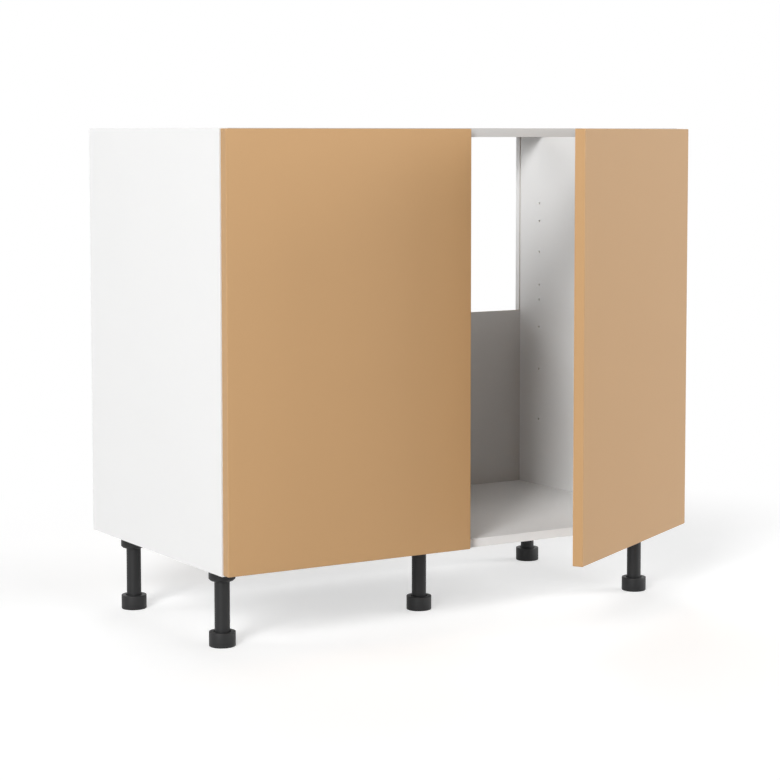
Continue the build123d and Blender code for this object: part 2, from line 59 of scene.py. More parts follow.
# ---- Shader nodes -------------------------------------------------------------------------------
def put(tree, kind, values=None, **settings):
    """A node with its settings, and the values of its inputs by name."""
    node = tree.nodes.new(kind)
    for name, value in settings.items():
        setattr(node, name, value)
    for name, value in (values or {}).items():
        node.inputs[name].default_value = value
    return node


def maths(tree, operation, first, second=None, clamp=False):
    """An operation on one or two values, each a number or another node's output."""
    node = put(tree, "ShaderNodeMath", operation=operation, use_clamp=clamp)
    for slot, value in enumerate((first, second)):
        if isinstance(value, (int, float)):
            node.inputs[slot].default_value = value
        elif value is not None:
            tree.links.new(value, node.inputs[slot])
    return node.outputs[0]


def ranged(tree, value, low, high, to_low=0.0, to_high=1.0, smooth=False):
    """The span from low to high spread over to_low to to_high, and held beyond its ends."""
    node = put(tree, "ShaderNodeMapRange", interpolation_type="SMOOTHSTEP" if smooth else "LINEAR",
               values={"From Min": low, "From Max": high, "To Min": to_low, "To Max": to_high})
    tree.links.new(value, node.inputs["Value"])
    return node.outputs["Result"]


# ---- Shader node groups: effects that several finishes share ------------------------------------
FLAKES_PER_METRE = 420.0
DUST_PER_METRE = 900.0
FLAKE_STRETCH = (1.0, 0.45, 1.0)        # flakes are longest along Y
FLAKE_SHARE, DUST_SHARE = 0.6, 0.4
CORE_DARK = (0.26, 0.165, 0.085)
CORE_LIGHT = (0.62, 0.46, 0.29)


def socket(group, name, kind, inward=True, value=None):
    made = group.interface.new_socket(name, in_out="INPUT" if inward else "OUTPUT",
                                      socket_type="NodeSocket" + kind)
    if value is not None:
        made.default_value = value


def group_ends(group):
    return group.nodes.new("NodeGroupInput").outputs, group.nodes.new("NodeGroupOutput").inputs


def make_drift():
    """Unevenness of a finish: two values about 0, one in wide patches and one as a fine mottle."""
    group = bpy.data.node_groups.new("finish_drift", "ShaderNodeTree")
    socket(group, "Position", "Vector")
    socket(group, "Patch size", "Float", value=0.2)
    socket(group, "Mottle size", "Float", value=0.01)
    socket(group, "Drift", "Float", inward=False)
    socket(group, "Mottle", "Float", inward=False)
    given, out = group_ends(group)
    for size, name, detail in (("Patch size", "Drift", 2), ("Mottle size", "Mottle", 4)):
        scale = maths(group, "DIVIDE", 1.0, given[size])
        noise = put(group, "ShaderNodeTexNoise", values={"Detail": detail, "Roughness": 0.55})
        group.links.new(given["Position"], noise.inputs["Vector"])
        group.links.new(scale, noise.inputs["Scale"])
        group.links.new(maths(group, "SUBTRACT", noise.outputs["Fac"], 0.5), out[name])
    return group


def make_pebble():
    """The fine pressed pebble of melamine, edge band and moulded plastic, as a height."""
    group = bpy.data.node_groups.new("pressed_pebble", "ShaderNodeTree")
    socket(group, "Position", "Vector")
    socket(group, "Pebble size", "Float", value=0.001)
    socket(group, "Height", "Float", inward=False)
    given, out = group_ends(group)
    scale = maths(group, "DIVIDE", 1.0, given["Pebble size"])
    cells = put(group, "ShaderNodeTexVoronoi", feature="SMOOTH_F1", values={"Smoothness": 0.8})
    noise = put(group, "ShaderNodeTexNoise", values={"Detail": 3})
    for texture in (cells, noise):
        group.links.new(given["Position"], texture.inputs["Vector"])
        group.links.new(scale, texture.inputs["Scale"])
    both = maths(group, "ADD", cells.outputs["Distance"], noise.outputs["Fac"])
    group.links.new(maths(group, "MULTIPLY", both, 0.5), out["Height"])
    return group


def make_particle_core():
    """Cut chipboard: flakes and dust, as a colour and a height."""
    group = bpy.data.node_groups.new("particle_core", "ShaderNodeTree")
    socket(group, "Position", "Vector")
    socket(group, "Colour", "Color", inward=False)
    socket(group, "Height", "Float", inward=False)
    given, out = group_ends(group)
    flakes = put(group, "ShaderNodeTexVoronoi", values={"Scale": FLAKES_PER_METRE})
    dust = put(group, "ShaderNodeTexNoise", values={"Scale": DUST_PER_METRE, "Detail": 4})
    stretch = put(group, "ShaderNodeVectorMath", operation="MULTIPLY")
    stretch.inputs[1].default_value = FLAKE_STRETCH
    group.links.new(given["Position"], stretch.inputs[0])
    for texture in (flakes, dust):
        group.links.new(stretch.outputs[0], texture.inputs["Vector"])
    bright = put(group, "ShaderNodeSeparateColor")
    group.links.new(flakes.outputs["Color"], bright.inputs[0])
    mixed = maths(group, "ADD", maths(group, "MULTIPLY", bright.outputs[0], FLAKE_SHARE),
                  maths(group, "MULTIPLY", dust.outputs["Fac"], DUST_SHARE))
    ramp = put(group, "ShaderNodeValToRGB")
    ramp.color_ramp.elements[0].color = (*CORE_DARK, 1)
    ramp.color_ramp.elements[1].color = (*CORE_LIGHT, 1)
    group.links.new(mixed, ramp.inputs[0])
    group.links.new(ramp.outputs[0], out["Colour"])
    group.links.new(mixed, out["Height"])
    return group


DRIFT = make_drift()
PEBBLE = make_pebble()
CORE = make_particle_core()


# ---- Finishes -----------------------------------------------------------------------------------
class Finish:
    """A material with its shader, and its Object coordinates at hand."""

    def __init__(self, name, colour, roughness, metallic=0.0, **constants):
        self.material = bpy.data.materials.new(name)
        self.material.use_nodes = True
        self.tree = self.material.node_tree
        self.shader = self.tree.nodes["Principled BSDF"]
        self.position = self.tree.nodes.new("ShaderNodeTexCoord").outputs["Object"]
        self.colour, self.roughness = colour, roughness
        self.shader.inputs["Base Color"].default_value = (*colour, 1)
        self.shader.inputs["Roughness"].default_value = roughness
        self.shader.inputs["Metallic"].default_value = metallic
        for socket_name, value in constants.items():
            self.shader.inputs[socket_name.replace("_", " ")].default_value = value

    def maths(self, operation, first, second=None, clamp=False):
        return maths(self.tree, operation, first, second, clamp)

    def ranged(self, value, low, high, to_low=0.0, to_high=1.0):
        return ranged(self.tree, value, low, high, to_low, to_high)

    def along(self):
        """The position's X, Y and Z, each as a value."""
        parts = put(self.tree, "ShaderNodeSeparateXYZ")
        self.tree.links.new(self.position, parts.inputs[0])
        return parts.outputs

    def stretched(self, scale, rotation=(0.0, 0.0, 0.0)):
        """The position turned and scaled by a Mapping node."""
        node = put(self.tree, "ShaderNodeMapping", values={"Scale": scale, "Rotation": rotation})
        self.tree.links.new(self.position, node.inputs["Vector"])
        return node.outputs[0]

    def texture(self, kind, place=None, **values):
        """A texture's outputs, at the position or at another place."""
        node = put(self.tree, kind, values=values)
        self.tree.links.new(self.position if place is None else place, node.inputs["Vector"])
        return node.outputs

    def group(self, tree, **values):
        node = put(self.tree, "ShaderNodeGroup", node_tree=tree)
        self.tree.links.new(self.position, node.inputs["Position"])
        for name, value in values.items():
            node.inputs[name.replace("_", " ")].default_value = value
        return node.outputs

    def tint(self, value, amount, colour=None):
        """Base colour made lighter and darker by a value about 0."""
        mix = put(self.tree, "ShaderNodeHueSaturation", values={"Color": (*self.colour, 1)})
        if colour is not None:
            self.tree.links.new(colour, mix.inputs["Color"])
        factor = self.maths("ADD", self.maths("MULTIPLY", value, amount), 1.0)
        self.tree.links.new(factor, mix.inputs["Value"])
        self.tree.links.new(mix.outputs[0], self.shader.inputs["Base Color"])

    def roughen(self, value, amount):
        """Roughness raised and lowered by a value."""
        changed = self.maths("ADD", self.maths("MULTIPLY", value, amount), self.roughness,
                             clamp=True)
        self.tree.links.new(changed, self.shader.inputs["Roughness"])

    def bump(self, height, depth):
        """Raised by depth metres where the height is 1."""
        node = put(self.tree, "ShaderNodeBump", values={"Distance": depth})
        self.tree.links.new(height, node.inputs["Height"])
        self.tree.links.new(node.outputs[0], self.shader.inputs["Normal"])

    def blend(self, mask, first, second):
        """First colour where the mask is 0, second where it is 1."""
        mix = put(self.tree, "ShaderNodeMix", data_type="RGBA")
        for name, value in (("A", first), ("B", second)):
            target = [s for s in mix.inputs if s.name == name and s.type == "RGBA"][0]
            if isinstance(value, tuple):
                target.default_value = (*value, 1)
            else:
                self.tree.links.new(value, target)
        self.tree.links.new(mask, mix.inputs["Factor"])
        return [s for s in mix.outputs if s.type == "RGBA"][0]


WHITE = (0.80, 0.80, 0.796)
# Painted shade: the grey given to the rails' white edge strips.
RAIL_SHADE_GREY = (0.52, 0.515, 0.505)
COAT_WHITE_PAINTED_SHADE = (0.55, 0.545, 0.535)       # the back panel's thin white coat, greyed with painted shade
FIBRE_DARK = (0.245, 0.145, 0.075)
FIBRE_LIGHT = (0.42, 0.275, 0.155)
COPPER = (0.49, 0.298, 0.144)
LEG_BLACK = (0.0155, 0.0155, 0.016)
NICKEL_GREY = (0.70, 0.68, 0.64)
ZINC_GREY = (0.60, 0.62, 0.65)
BEECH_BROWN = (0.62, 0.42, 0.25)
BUMPER_WHITE = (0.82, 0.82, 0.80)

SKIN = 0.3 * MM             # thickness of a board's melamine faces
EDGE_BLEND = 0.05 * MM      # how softly one colour of a board turns into the next
OUTLINE_DEPTH = 1.0 * MM    # how far in from a side's outline a cut edge reaches
BORE_CORE = 0.25            # how much of the core's colour a shelf hole's wall shows
CORE_RELIEF = 4.0           # how much rougher the core is than the melamine's pebble
BAND_BLEND = 0.1 * MM       # width of the step between white and grey edge band
COAT = 0.2 * MM             # thickness of the back panel's white coat
COAT_BLEND = 0.1 * MM       # and of the step from it to the raw fibre
COAT_RELIEF = 0.15          # the coat's mottle, as a share of the raw fibre's
MOTTLE_REACH = 0.25         # how far a mottle goes to either side of 0
FLECK_SHADE = 0.06          # how much the lacquer's flecks and patches change its shade
PATCH_SHADE = 0.04
FLECKS_PER_METRE = 5200.0
RIPPLES_PER_METRE = 260.0
RUBS_PER_METRE = (3000.0, 250.0, 3000.0)
GRAIN_PER_METRE = (60.0, 900.0, 900.0)  # long along X


def inside_board(finish, axis, middle, both_sides=False):
    """1 where a board's cut edges and bores show its core, 0 on its two faces."""
    place = finish.along()[axis]
    if both_sides:
        place = finish.maths("ABSOLUTE", place)
    away = finish.maths("ABSOLUTE", finish.maths("SUBTRACT", place, middle))
    face = BOARD / 2 - SKIN
    return finish.ranged(away, face - EDGE_BLEND, face + EDGE_BLEND, 1.0, 0.0)


def near_outline(finish, node_name, axes):
    """1 close to a piece's outermost faces along some axes, 0 inside them."""
    low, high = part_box(node_name)
    place = finish.along()
    found = 0.0
    for axis in axes:
        index = "XYZ".index(axis)
        middle, half = (low[index] + high[index]) / 2, (high[index] - low[index]) / 2
        away = finish.maths("ABSOLUTE", finish.maths("SUBTRACT", place[axis], middle))
        edge = half - OUTLINE_DEPTH
        found = finish.maths("MAXIMUM", finish.ranged(away, edge, edge + EDGE_BLEND), found)
    return found


def melamine_board(name, axis, middle, both_sides=False, outline=None):
    """White melamine faces over a chipboard core; bores away from the outline show less of it."""
    finish = Finish(name, WHITE, roughness=0.40)
    drift = finish.group(DRIFT, Patch_size=0.35, Mottle_size=0.004)
    pebble = finish.group(PEBBLE, Pebble_size=0.0009)
    core = finish.group(CORE)
    mask = inside_board(finish, axis, middle, both_sides)
    if outline:
        share = finish.ranged(near_outline(finish, *outline), 0.0, 1.0, BORE_CORE, 1.0)
        mask = finish.maths("MULTIPLY", mask, share)
    finish.tint(drift["Drift"], amount=0.02, colour=finish.blend(mask, WHITE, core["Colour"]))
    finish.roughen(finish.maths("ADD", drift["Mottle"], mask), amount=0.25)
    flakes = finish.maths("MULTIPLY", finish.maths("MULTIPLY", core["Height"], mask), CORE_RELIEF)
    finish.bump(finish.maths("ADD", pebble["Height"], flakes), depth=0.03 * MM)
    return finish.material


def edge_band_plastic():
    """White edging; the rails' strips are greyed with painted shade."""
    finish = Finish("white_edge_band", WHITE, roughness=0.36)
    place = finish.along()
    # Painted shade: the strips above the rails' undersides and between the sides turn grey.
    high = finish.ranged(place["Z"], RAIL_UNDERSIDE - 2 * BAND_BLEND, RAIL_UNDERSIDE)
    away = finish.maths("ABSOLUTE", place["X"])
    between = finish.ranged(away, SIDE_FACE - BAND_BLEND, SIDE_FACE, 1.0, 0.0)
    colour = finish.blend(finish.maths("MULTIPLY", high, between), WHITE, RAIL_SHADE_GREY)
    drift = finish.group(DRIFT, Patch_size=0.5, Mottle_size=0.003)
    pebble = finish.group(PEBBLE, Pebble_size=0.0006)
    finish.tint(drift["Drift"], amount=0.015, colour=colour)
    finish.roughen(drift["Mottle"], amount=0.12)
    finish.bump(pebble["Height"], depth=0.015 * MM)
    return finish.material


def hardboard():
    """White coat, greyed with painted shade, on the face toward the room; pressed brown fibre
    behind and at the edges.
    """
    finish = Finish("white_hardboard", COAT_WHITE_PAINTED_SHADE, roughness=0.45)
    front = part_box("back_panel")[0].y
    raw = finish.ranged(finish.along()["Y"], front + COAT, front + COAT + COAT_BLEND)
    drift = finish.group(DRIFT, Patch_size=0.15, Mottle_size=0.0015)
    fibre = finish.ranged(drift["Mottle"], -MOTTLE_REACH, MOTTLE_REACH)
    brown = finish.blend(fibre, FIBRE_DARK, FIBRE_LIGHT)
    finish.tint(drift["Drift"], amount=0.05, colour=finish.blend(raw, COAT_WHITE_PAINTED_SHADE, brown))
    finish.roughen(finish.maths("ADD", drift["Mottle"], raw), amount=0.2)
    relief = finish.maths("ADD", raw, COAT_RELIEF)
    finish.bump(finish.maths("MULTIPLY", drift["Mottle"], relief), depth=0.12 * MM)
    return finish.material


def copper_lacquer():
    """Satin copper lacquer: very fine flake under a softly rippled surface."""
    finish = Finish("copper_lacquer", COPPER, roughness=0.31, Specular_IOR_Level=0.16)
    drift = finish.group(DRIFT, Patch_size=0.4, Mottle_size=0.0006)
    flake = finish.texture("ShaderNodeTexVoronoi", Scale=FLECKS_PER_METRE)
    split = put(finish.tree, "ShaderNodeSeparateColor")
    finish.tree.links.new(flake["Color"], split.inputs[0])
    sparkle = finish.maths("SUBTRACT", split.outputs[0], 0.5)
    shade = finish.maths("ADD", finish.maths("MULTIPLY", sparkle, FLECK_SHADE),
                         finish.maths("MULTIPLY", drift["Drift"], PATCH_SHADE))
    finish.tint(shade, amount=1.0)
    finish.roughen(sparkle, amount=0.06)
    ripple = finish.texture("ShaderNodeTexNoise", Scale=RIPPLES_PER_METRE, Detail=2)
    finish.bump(ripple["Fac"], depth=0.01 * MM)
    return finish.material


def moulded_plastic():
    """Black moulded plastic, matt from the spark-eroded mould."""
    finish = Finish("black_leg_plastic", LEG_BLACK, roughness=0.48, Specular_IOR_Level=0.28)
    drift = finish.group(DRIFT, Patch_size=0.05, Mottle_size=0.0015)
    pebble = finish.group(PEBBLE, Pebble_size=0.0007)
    finish.tint(drift["Drift"], amount=0.25)
    finish.roughen(drift["Mottle"], amount=0.25)
    finish.bump(pebble["Height"], depth=0.05 * MM)
    return finish.material


def plated(name, colour, roughness, cloud, rub_turn):
    """Plated steel: cloudy plating and fine rubbing marks, turned by some radians about Y."""
    finish = Finish(name, colour, roughness, metallic=1.0)
    drift = finish.group(DRIFT, Patch_size=0.012, Mottle_size=0.0012)
    place = finish.stretched(RUBS_PER_METRE, (0.0, rub_turn, 0.0))
    marks = finish.texture("ShaderNodeTexNoise", place, Scale=1.0, Detail=3)
    finish.tint(drift["Drift"], amount=cloud)
    rub = finish.maths("ADD", finish.maths("SUBTRACT", marks["Fac"], 0.5), drift["Mottle"])
    finish.roughen(rub, amount=0.14)
    finish.bump(marks["Fac"], depth=0.004 * MM)
    return finish.material


def beech():
    """Turned beech: straight grain along X with short dark flecks."""
    finish = Finish("beech", BEECH_BROWN, roughness=0.55)
    place = finish.stretched(GRAIN_PER_METRE)
    grain = finish.texture("ShaderNodeTexNoise", place, Scale=1.0, Detail=5)
    around = finish.maths("SUBTRACT", grain["Fac"], 0.5)
    finish.tint(around, amount=0.9)
    finish.roughen(around, amount=0.2)
    finish.bump(grain["Fac"], depth=0.08 * MM)
    return finish.material


def soft_bumper():
    """Milky soft plastic that lets some light through."""
    finish = Finish("bumper_rubber", BUMPER_WHITE, roughness=0.28,
                    Transmission_Weight=0.35, IOR=1.45)
    drift = finish.group(DRIFT, Patch_size=0.01, Mottle_size=0.0008)
    finish.tint(drift["Drift"], amount=0.06)
    finish.roughen(drift["Mottle"], amount=0.2)
    return finish.material


SIDE_BOARD = melamine_board("white_melamine_sides", "X", SIDE_MIDDLE, both_sides=True,
                            outline=("side_panel_left", "YZ"))
BOTTOM_BOARD = melamine_board("white_melamine_bottom", "Z", BOTTOM_MIDDLE)
RAIL_BOARD = melamine_board("white_melamine_rails", "Z", RAIL_MIDDLE)
EDGE_BAND = edge_band_plastic()
HARDBOARD = hardboard()
LACQUER = copper_lacquer()
PLASTIC = moulded_plastic()
NICKEL = plated("nickel_plated_steel", NICKEL_GREY, roughness=0.24, cloud=0.06, rub_turn=0.4)
ZINC = plated("zinc_plated_steel", ZINC_GREY, roughness=0.34, cloud=0.16, rub_turn=1.1)
BEECH = beech()
BUMPER = soft_bumper()

# The finish of a CAD node goes by the start of its name. All others are zinc plated.
FINISHES = (
    ("side_panel", SIDE_BOARD),
    ("bottom_panel", BOTTOM_BOARD),
    ("front_rail", RAIL_BOARD),
    ("rear_rail", RAIL_BOARD),
    ("edge_bands", EDGE_BAND),
    ("back_panel", HARDBOARD),
    ("door_bumpers", BUMPER),
    ("door_", LACQUER),
    ("leg_", PLASTIC),
    ("hinge_", NICKEL),
    ("inner_link", NICKEL),
    ("outer_link", NICKEL),
    ("wood_dowels", BEECH),
)


def finish_of(node_name):
    for start, material in FINISHES:
        if node_name.startswith(start):
            return material
    return ZINC


for node_name, piece in nodes.items():
    piece.data.materials.clear()
    piece.data.materials.append(finish_of(node_name))


# ---- Small fittings: drawn once along +Z, then set in place by geometry nodes -------------------
SCREW_SIDES = 24
SLOT_FOOT = 0.62            # a cross slot's width at its foot, as a share of its mouth
SLOT_TIP = 1.25             # depth of its tip, as a share of its walls' depth
THREAD_ROWS = 4             # rings of points for each turn of a thread
THREAD_SLOPE = 1.6          # steepness of the flanks: above 1 the crest is flat
THREAD_RUN_OUT = 0.35       # share of the thread's height that is left at its upper end
NECK = 0.2 * MM             # plain shank under a screw's head
TIP_SHARE = 0.25            # a pointed tip is at most this share of the screw's length
TIP_RADII = 1.6             # and at most this many radii long
BLUNT_TIP = 0.5 * MM        # length of a blunt end's chamfer
BLUNT_WIDTH = 0.8           # width of the end, as a share of the thread's start
PAN_DOME = ((1.0, 0.0), (1.0, 0.35), (0.94, 0.66), (0.82, 0.86))    # shares of radius and height
PAN_SHOULDER = 0.965        # height between the dome and the flat, as a share of the head's
CREASE = math.radians(35)   # a sharper fold than this is drawn as an edge


def ring(bm, radii, height):
    """Points about the Z axis, one for each radius, counter-clockwise."""
    count = len(radii)
    return [bm.verts.new((radius * math.cos(2 * math.pi * k / count),
                          radius * math.sin(2 * math.pi * k / count), height))
            for k, radius in enumerate(radii)]


def narrowed(bm, points, share, height):
    """A ring like another, drawn in to a share of its width."""
    return [bm.verts.new((v.co.x * share, v.co.y * share, height)) for v in points]


def bridge(bm, lower, upper):
    """Faces between two rings; a ring of one point is a pole."""
    count = max(len(lower), len(upper))
    for k in range(count):
        after = (k + 1) % count
        if len(lower) == 1:
            bm.faces.new((lower[0], upper[after], upper[k]))
        elif len(upper) == 1:
            bm.faces.new((lower[k], lower[after], upper[0]))
        else:
            bm.faces.new((lower[k], lower[after], upper[after], upper[k]))


def lathe(bm, profile, segments):
    """A turned shape from (radius, height) pairs; a radius of 0 is a pole. Returns its rings."""
    rings = []
    for radius, height in profile:
        if radius == 0:
            rings.append([bm.verts.new((0, 0, height))])
        else:
            rings.append(ring(bm, [radius] * segments, height))
    for lower, upper in zip(rings, rings[1:]):
        bridge(bm, lower, upper)
    return rings


def cross_outline(reach, half):
    """The twelve corners of a cross slot, counter-clockwise."""
    quarter = [(reach, -half), (reach, half), (half, half)]
    corners = []
    for turns in range(4):
        c, s = round(math.cos(turns * math.pi / 2)), round(math.sin(turns * math.pi / 2))
        corners += [(x * c - y * s, x * s + y * c) for x, y in quarter]
    return corners


def cross_slot(bm, rim, height, reach, half, depth):
    """Closes the face inside a rim ring, with a cross slot that narrows downward."""
    outline = cross_outline(reach, half)
    top = [bm.verts.new((x, y, height)) for x, y in outline]
    low = [bm.verts.new((x * SLOT_FOOT, y * SLOT_FOOT, height - depth)) for x, y in outline]
    tip = bm.verts.new((0, 0, height - depth * SLOT_TIP))
    edges = [bm.edges.get((rim[k], rim[(k + 1) % len(rim)])) for k in range(len(rim))]
    edges += [bm.edges.new((top[k], top[(k + 1) % len(top)])) for k in range(len(top))]
    bmesh.ops.triangle_fill(bm, edges=edges, use_beauty=True, normal=(0, 0, 1))
    for k in range(len(top)):
        after = (k + 1) % len(top)
        bm.faces.new((top[k], low[k], low[after], top[after]))
        bm.faces.new((low[after], low[k], tip))


def thread_rings(bm, crest, root, start, end, pitch, segments):
    """Rings of a screw thread from start up to end; returns the first and last ring."""
    count = max(2, round((end - start) / pitch * THREAD_ROWS))
    rings = []
    for row in range(count + 1):
        height = start + (end - start) * row / count
        fade = min(1.0, (height - start) / pitch, (end - height) / pitch + THREAD_RUN_OUT)
        radii = []
        for k in range(segments):
            phase = ((height - start) / pitch - k / segments) % 1.0
            rise = min(1.0, THREAD_SLOPE * (1 - abs(2 * phase - 1)))
            radii.append(root + (crest - root) * rise * max(0.0, fade))
        rings.append(ring(bm, radii, height))
    for lower, upper in zip(rings, rings[1:]):
        bridge(bm, lower, upper)
    return rings[0], rings[-1]


def close_mesh(bm, name):
    """The finished mesh: doubles merged, faces outward, shaded smooth up to a crease."""
    bmesh.ops.remove_doubles(bm, verts=bm.verts, dist=1e-7)
    bmesh.ops.recalc_face_normals(bm, faces=bm.faces)
    mesh = bpy.data.meshes.new(name)
    bm.to_mesh(mesh)
    bm.free()
    for face in mesh.polygons:
        face.use_smooth = True
    mesh.set_sharp_from_angle(angle=CREASE)
    return mesh


def drawn_screw(name, head, slot, crest, root, length, pitch, point=True):
    """A screw whose seat is at zero: head profile above, threaded shank below."""
    bm = bmesh.new()
    tip_length = min(length * TIP_SHARE, crest * TIP_RADII) if point else BLUNT_TIP
    first, last = thread_rings(bm, crest, root, -length + tip_length, -NECK, pitch, SCREW_SIDES)
    tip = bm.verts.new((0, 0, -length))
    if point:
        bridge(bm, [tip], first)
    else:
        small = narrowed(bm, first, BLUNT_WIDTH, -length)
        bridge(bm, small, first)
        bridge(bm, [tip], small)
    rings = lathe(bm, head, SCREW_SIDES)
    bridge(bm, last, rings[0])
    cross_slot(bm, rings[-1], head[-1][1], **slot)
    return close_mesh(bm, name)


def pan_head(radius, height, flat):
    """Profile of a domed head from its seat to the flat round the slot."""
    dome = [(radius * across, height * up) for across, up in PAN_DOME]
    return dome + [((dome[-1][0] + flat) / 2, height * PAN_SHOULDER), (flat, height)]


def setting_tree():
    """Sets a drawn fitting at every point, facing as the point says and turned by chance."""
    tree = bpy.data.node_groups.new("set_fittings", "GeometryNodeTree")
    for name, kind in (("Geometry", "Geometry"), ("Fitting", "Object"), ("Finish", "Material"),
                       ("Size", "Float"), ("Turn", "Float"), ("Seed", "Int")):
        tree.interface.new_socket(name, in_out="INPUT", socket_type="NodeSocket" + kind)
    tree.interface.new_socket("Geometry", in_out="OUTPUT", socket_type="NodeSocketGeometry")
    given, out = group_ends(tree)
    link = tree.links.new
    info = put(tree, "GeometryNodeObjectInfo")
    link(given["Fitting"], info.inputs["Object"])
    facing = put(tree, "GeometryNodeInputNamedAttribute", data_type="FLOAT_VECTOR",
                 values={"Name": "facing"})
    aim = put(tree, "FunctionNodeAlignRotationToVector", axis="Z")
    link(facing.outputs["Attribute"], aim.inputs["Vector"])
    chance = put(tree, "FunctionNodeRandomValue", data_type="FLOAT")
    link(given["Turn"], [s for s in chance.inputs if s.name == "Max" and s.type == "VALUE"][0])
    link(given["Seed"], chance.inputs["Seed"])
    spin = put(tree, "FunctionNodeAxisAngleToRotation", values={"Axis": (0, 0, 1)})
    link([s for s in chance.outputs if s.type == "VALUE"][0], spin.inputs["Angle"])
    both = put(tree, "FunctionNodeRotateRotation", rotation_space="LOCAL")
    link(aim.outputs[0], both.inputs["Rotation"])
    link(spin.outputs[0], both.inputs["Rotate By"])
    place = put(tree, "GeometryNodeInstanceOnPoints")
    link(given["Geometry"], place.inputs["Points"])
    link(info.outputs["Geometry"], place.inputs["Instance"])
    link(both.outputs[0], place.inputs["Rotation"])
    link(given["Size"], place.inputs["Scale"])
    real = put(tree, "GeometryNodeRealizeInstances")
    link(place.outputs[0], real.inputs[0])
    paint = put(tree, "GeometryNodeSetMaterial")
    link(real.outputs[0], paint.inputs["Geometry"])
    link(given["Finish"], paint.inputs["Material"])
    link(paint.outputs[0], out["Geometry"])
    return tree


SETTING = setting_tree()


def new_object(name, data):
    obj = bpy.data.objects.new(name, data)
    bpy.context.scene.collection.objects.link(obj)
    return obj


def set_fittings(name, mesh, places, finish, seed, body, replaced=(), size=1.0):
    """One piece that rides a body: the drawn fitting at each (position, facing)."""
    cloud = bpy.data.meshes.new(name + "_places")
    cloud.from_pydata([tuple(position) for position, _ in places], [], [])
    facing = cloud.attributes.new("facing", "FLOAT_VECTOR", "POINT")
    for index, (_, direction) in enumerate(places):
        facing.data[index].vector = direction
    drawn = new_object(name + "_drawn", mesh)
    bearer = new_object(name + "_bearer", cloud)
    modifier = bearer.modifiers.new("set", "NODES")
    modifier.node_group = SETTING
    values = {"Fitting": drawn, "Finish": finish, "Size": size, "Turn": math.pi / 2, "Seed": seed}
    for item in SETTING.interface.items_tree:
        if item.item_type == "SOCKET" and item.in_out == "INPUT" and item.name in values:
            modifier[item.identifier] = values[item.name]
    bpy.context.view_layer.update()
    graph = bpy.context.evaluated_depsgraph_get()
    baked = bpy.data.meshes.new_from_object(bearer.evaluated_get(graph))
    baked.name = name
    bearer.modifiers.remove(modifier)
    bpy.data.objects.remove(bearer)
    bpy.data.objects.remove(drawn)
    piece = new_object(name, baked)
    for face in baked.polygons:
        face.use_smooth = True
    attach(piece, body)
    if replaced:
        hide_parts(*replaced)


def separate_solids(node_name):
    """The points of each separate solid of a CAD node, in the order of the node's mesh."""
    bm = bmesh.new()
    bm.from_mesh(nodes[node_name].data)
    bmesh.ops.remove_doubles(bm, verts=bm.verts, dist=1e-6)
    left = set(bm.verts)
    found = []
    for start in bm.verts:
        if start not in left:
            continue
        left.remove(start)
        island, queue = [start], [start]
        while queue:
            vertex = queue.pop()
            for edge in vertex.link_edges:
                other = edge.other_vert(vertex)
                if other in left:
                    left.remove(other)
                    island.append(other)
                    queue.append(other)
        found.append([v.co.copy() for v in island])
    bm.free()
    return found


def seats(node_name, head_height, facing=None):
    """Seat and facing of each fitting in a CAD node. Without a facing, their heads face the
    cabinet's middle."""
    places = []
    for points in separate_solids(node_name):
        way = facing or Vector((-1 if points[0].x > 0 else 1, 0, 0))
        level = Vector((1, 0, 0)) if way.z else Vector((way.y, -way.x, 0))
        seat = way * (max(p.dot(way) for p in points) - head_height)
        for across in (level, way.cross(level)):
            spread = [p.dot(across) for p in points]
            seat += across * ((max(spread) + min(spread)) / 2)
        places.append((seat, way))
    return places


DOWN = Vector((0, 0, -1))
PLATE_SCREW_HEAD = 1.6 * MM
ARM_SCREW_HEAD = 1.8 * MM
CUP_SCREW_HEAD = 1.4 * MM

# Mounting plate screws and arm screws point into the sides.
plate_screw = drawn_screw(
    "plate_screw", head=pan_head(4.2 * MM, PLATE_SCREW_HEAD, flat=2.4 * MM),
    slot={"reach": 2.0 * MM, "half": 0.42 * MM, "depth": 1.5 * MM},
    crest=2.44 * MM, root=1.9 * MM, length=13.5 * MM, pitch=1.8 * MM)
set_fittings("plate_screws_drawn", plate_screw, seats("plate_screws", PLATE_SCREW_HEAD), ZINC, 3,
             "carcass", ["plate_screws"])

arm_screw = drawn_screw(
    "arm_screw", head=pan_head(3.9 * MM, ARM_SCREW_HEAD, flat=2.5 * MM),
    slot={"reach": 2.1 * MM, "half": 0.42 * MM, "depth": 1.4 * MM},
    crest=2.58 * MM, root=2.2 * MM, length=11.4 * MM, pitch=1.0 * MM, point=False)
set_fittings("arm_screws_drawn", arm_screw, seats("arm_screws", ARM_SCREW_HEAD), ZINC, 5,
             "carcass", ["arm_screws"])

# Cup screws point out through the doors, so they are turned as their door stands.
cup_screw = drawn_screw(
    "cup_screw", head=[(3.4 * MM, 0.0), (3.35 * MM, 0.25 * MM), (2.9 * MM, 0.9 * MM),
                       (2.2 * MM, CUP_SCREW_HEAD)],
    slot={"reach": 1.7 * MM, "half": 0.38 * MM, "depth": 1.1 * MM},
    crest=1.74 * MM, root=1.25 * MM, length=14.0 * MM, pitch=1.5 * MM)
for seed, (side, turn) in enumerate(DOOR_TURNS.items(), start=11):
    inward = Vector((-math.sin(turn), math.cos(turn), 0))
    set_fittings(f"cup_screws_{side}_drawn", cup_screw,
                 seats(f"cup_screws_{side}", CUP_SCREW_HEAD, inward), ZINC, seed,
                 f"door_{side}", [f"cup_screws_{side}"])

